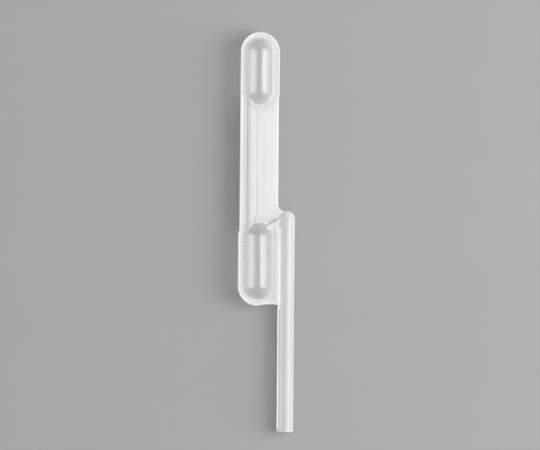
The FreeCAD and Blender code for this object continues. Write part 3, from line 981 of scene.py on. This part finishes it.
def stem_tube(name):
    """A drawn tube with a domed top and a square-cut tip whose edges are just broken."""
    # (radius, z) from the dome's top down the outside, round the tip and up the bore
    section = [(0.0, DOME_Z + STEM_TOP_R)]
    for angle in np.linspace(0, math.pi / 2, 15)[1:]:
        section.append((STEM_TOP_R * math.sin(angle), DOME_Z + STEM_TOP_R * math.cos(angle)))
    section += [(stem_radius(z), z) for z in np.linspace(DOME_Z, STEM_FREE, 30)[1:]]
    section += [(STEM_R, z) for z in [*np.linspace(STEM_FREE, 0.8, 39)[1:], 0.48, 0.38, 0.06]]
    section += [(STEM_R - 0.02, 0.015), (STEM_R - 0.06, 0.0)]
    section += [(STEM_BORE + 0.05, 0.0), (STEM_BORE + 0.015, 0.015)]
    section += [(STEM_BORE, z) for z in [0.05, 0.38, 0.48, *np.linspace(0.8, DOME_Z, 59)]]
    section += arc(0.0, DOME_Z, STEM_BORE, 0, math.pi / 2, 13)[1:-1]
    section += [(0.0, DOME_Z + STEM_BORE)]
    segments = 72
    verts, milk = [], []
    for s in range(segments):
        angle = 2 * math.pi * s / segments
        cos, sin = math.cos(angle), math.sin(angle)
        for radius, z in section:
            if 0.3 < z < DOME_Z and radius > 0.5:
                radius += 0.018 * waviness(cos, sin, z / 7.0, 1.1, 11.0)
            verts.append((radius * cos, radius * sin, z))
            milk.append(stem_haze(z))
    faces, kinds = loft_round(segments, [PLASTIC] * (len(section) - 1))
    return make(name, verts, faces, kinds, MAT_STEM, milk)


# ------------------------------------------------------------------ assemble
def fit(obj, cad=None):
    """Fix a piece to the moulding, in place of its CAD node if it has one."""
    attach(obj, "moulding")
    if cad:
        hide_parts(cad)


def fit_bulb(which, bulb, half, side, seed, tuning):
    obj = bulb_wall(f"{which}_bulb_{half}_wall", bulb, side, seed, tuning)
    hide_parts(f"{which}_bulb_{half}_shoulder", f"{which}_bulb_{half}_press_wall")
    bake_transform(obj)


# lean and drop paint shade: each bulb is made clearer, so darker, on its right side
SQUEEZE_HAZE = dict(flank=0.90, lean=0.15, drop=0.6)
OVERFLOW_HAZE = dict(flank=0.65, lean=0.6, drop=0.0)
for side, half, seed in ((FRONT, "front", 1.0), (REAR, "rear", 2.0)):
    fit(web_sheet(f"web_{half}_sheet", side, seed), "web_" + half)
    fit_bulb("squeeze", SQUEEZE, half, side, seed + 3.0, SQUEEZE_HAZE)
    fit_bulb("overflow", OVERFLOW, half, side, seed + 7.0, OVERFLOW_HAZE)
    channel = air_channel(f"air_channel_{half}_wall", side, seed + 9)
    fit(channel, "air_channel_" + half)
    duct = overflow_duct(f"overflow_duct_{half}_wall", side, seed + 13)
    fit(duct, "overflow_duct_" + half)
    fit(stem_crease("stem_root_fillet_" + half, side))
fit(stem_tube("stem_tube_wall"), "stem_tube")
# glow gives the weld lines a painted glow, an emission that paints them bright
fit(weld_line("stem_weld_line_left", -1, size=0.11, half_width=0.45, glow=1.2))
fit(weld_line("stem_weld_line_right", 1, size=0.06, half_width=0.06, glow=0.8))


# ------------------------------------------------------------------ stage, in metres
# It lies on its bulbs and its thinner stem, so the surface under it is turned about z.
ROLL = math.asin((OVERFLOW.radius - STEM_R) / -OVERFLOW.x)
TOWARD = Vector((-math.sin(ROLL), -math.cos(ROLL), 0.0))  # off the surface, toward the camera
ACROSS = Vector((math.cos(ROLL), -math.sin(ROLL), 0.0))
UP = Vector((0.0, 0.0, 1.0))
REST_GAP = (STEM_R + 0.04) * MM
SURFACE_HALF = 0.9
SURFACE_GREY = 0.336


def at(across, off, up):
    """A place from its distances to the right, off the surface and up."""
    return ACROSS * across + TOWARD * off + UP * up


def stage_material():
    shader = Shader("pale_surface")
    coords = shader.add("TexCoord").outputs["Object"]
    mottle = shader.add("TexNoise", {"Vector": coords, "Scale": 60.0, "Detail": 4.0})
    tone = shader.add("MixRGB", {
        "Fac": mottle.outputs["Fac"],
        "Color1": (*[SURFACE_GREY * 0.985] * 3, 1),
        "Color2": (*[SURFACE_GREY * 1.015] * 3, 1),
    })
    diffuse = shader.add("BsdfDiffuse", {"Color": tone.outputs["Color"]}).outputs[0]
    clear = shader.add("BsdfTransparent").outputs[0]
    # clear from behind, and to shadow rays so that light set behind it reaches the piece
    backfacing = shader.add("NewGeometry").outputs["Backfacing"]
    shadow = shader.add("LightPath").outputs["Is Shadow Ray"]
    return shader.finish(shader.mix(shader.math("MAXIMUM", backfacing, shadow), diffuse, clear))


def build_surface():
    half = SURFACE_HALF
    corners = ((-half, -half), (half, -half), (half, half), (-half, half))
    mesh = bpy.data.meshes.new("surface")
    mesh.from_pydata([at(x, -REST_GAP, z) for x, z in corners], [], [(0, 1, 2, 3)])
    surface = bpy.data.objects.new("surface", mesh)
    bpy.context.scene.collection.objects.link(surface)
    mesh.materials.append(stage_material())


build_surface()

# ------------------------------------------------------------------ lights
LIGHT_DISTANCE = 0.80
LIGHT_TARGET = Vector((-0.004, 0.0, 0.048))


def area(name, angle, up, width, power, height=0.62, lit=True, seen=True):
    """A soft panel, its angle in degrees from the camera's direction, positive to the right.

    lit: it lights diffuse surfaces; seen: it shows in reflections.
    """
    turn = math.radians(angle)
    place = at(LIGHT_DISTANCE * math.sin(turn), LIGHT_DISTANCE * math.cos(turn), up)
    light = bpy.data.lights.new(name, "AREA")
    light.shape = "RECTANGLE"
    light.size = width
    light.size_y = height
    light.energy = power
    obj = bpy.data.objects.new(name, light)
    obj.location = place
    obj.rotation_euler = (LIGHT_TARGET - place).to_track_quat("-Z", "Y").to_euler()
    obj.visible_camera = False
    obj.visible_diffuse = lit
    obj.visible_glossy = seen
    bpy.context.scene.collection.objects.link(obj)


area("key_right", angle=50, up=0.06, width=0.46, power=5.2, seen=False)
area("key_shine", angle=44, up=0.06, width=0.50, power=5.4, lit=False)
area("side_right", angle=73, up=0.06, width=0.22, power=1.0)
area("far_right", angle=82, up=0.06, width=0.34, power=1.4, seen=False)
area("near_right", angle=22, up=0.06, width=0.24, power=0.8)
area("wall_left", angle=-76, up=0.05, width=1.00, power=6.4, lit=False)
area("fill_left", angle=-50, up=0.05, width=0.70, power=0.7, seen=False)
area("rear_fill", angle=168, up=0.10, width=0.60, power=1.0, height=0.60)


def build_world():
    """An even room light that the camera itself sees as a darker grey."""
    room_strength, seen_strength_change = 0.68, -0.28
    world = bpy.data.worlds.new("studio")
    bpy.context.scene.world = world
    world.use_nodes = True
    tree = world.node_tree
    background = tree.nodes["Background"]
    background.inputs["Color"].default_value = (0.80, 0.80, 0.80, 1)
    rays = tree.nodes.new("ShaderNodeLightPath")
    level = tree.nodes.new("ShaderNodeMath")
    level.operation = "MULTIPLY_ADD"
    tree.links.new(rays.outputs["Is Camera Ray"], level.inputs[0])
    level.inputs[1].default_value = seen_strength_change
    level.inputs[2].default_value = room_strength
    tree.links.new(level.outputs[0], background.inputs["Strength"])


build_world()

# ------------------------------------------------------------------ camera, square to the surface
CAMERA_DISTANCE = 0.80
CAMERA_ACROSS = -3.88103 * MM
CAMERA_UP = 49.16765 * MM
VIEW_WIDTH = 128.574 * MM  # width of the view at the stem's axis
CAMERA_TILT = math.radians(0.43)
SENSOR_WIDTH = 36.0


def build_camera():
    data = bpy.data.cameras.new("camera")
    camera = bpy.data.objects.new("camera", data)
    bpy.context.scene.collection.objects.link(camera)
    data.sensor_width = SENSOR_WIDTH
    data.lens = SENSOR_WIDTH * CAMERA_DISTANCE / VIEW_WIDTH
    data.clip_end = 20.0
    right = ACROSS * math.cos(CAMERA_TILT) + UP * math.sin(CAMERA_TILT)
    turn = Matrix((right, TOWARD.cross(right), TOWARD)).transposed().to_4x4()
    place = at(CAMERA_ACROSS, CAMERA_DISTANCE, CAMERA_UP)
    camera.matrix_world = Matrix.Translation(place) @ turn
    bpy.context.scene.camera = camera


build_camera()

# ------------------------------------------------------------------ render settings
scene = bpy.context.scene
scene.view_settings.view_transform = "Standard"
scene.view_settings.look = "None"
scene.cycles.use_denoising = True
scene.cycles.max_bounces = 12
scene.cycles.transparent_max_bounces = 32
scene.cycles.diffuse_bounces = 5
scene.cycles.glossy_bounces = 4
scene.cycles.transmission_bounces = 8
scene.cycles.sample_clamp_indirect = 4.0
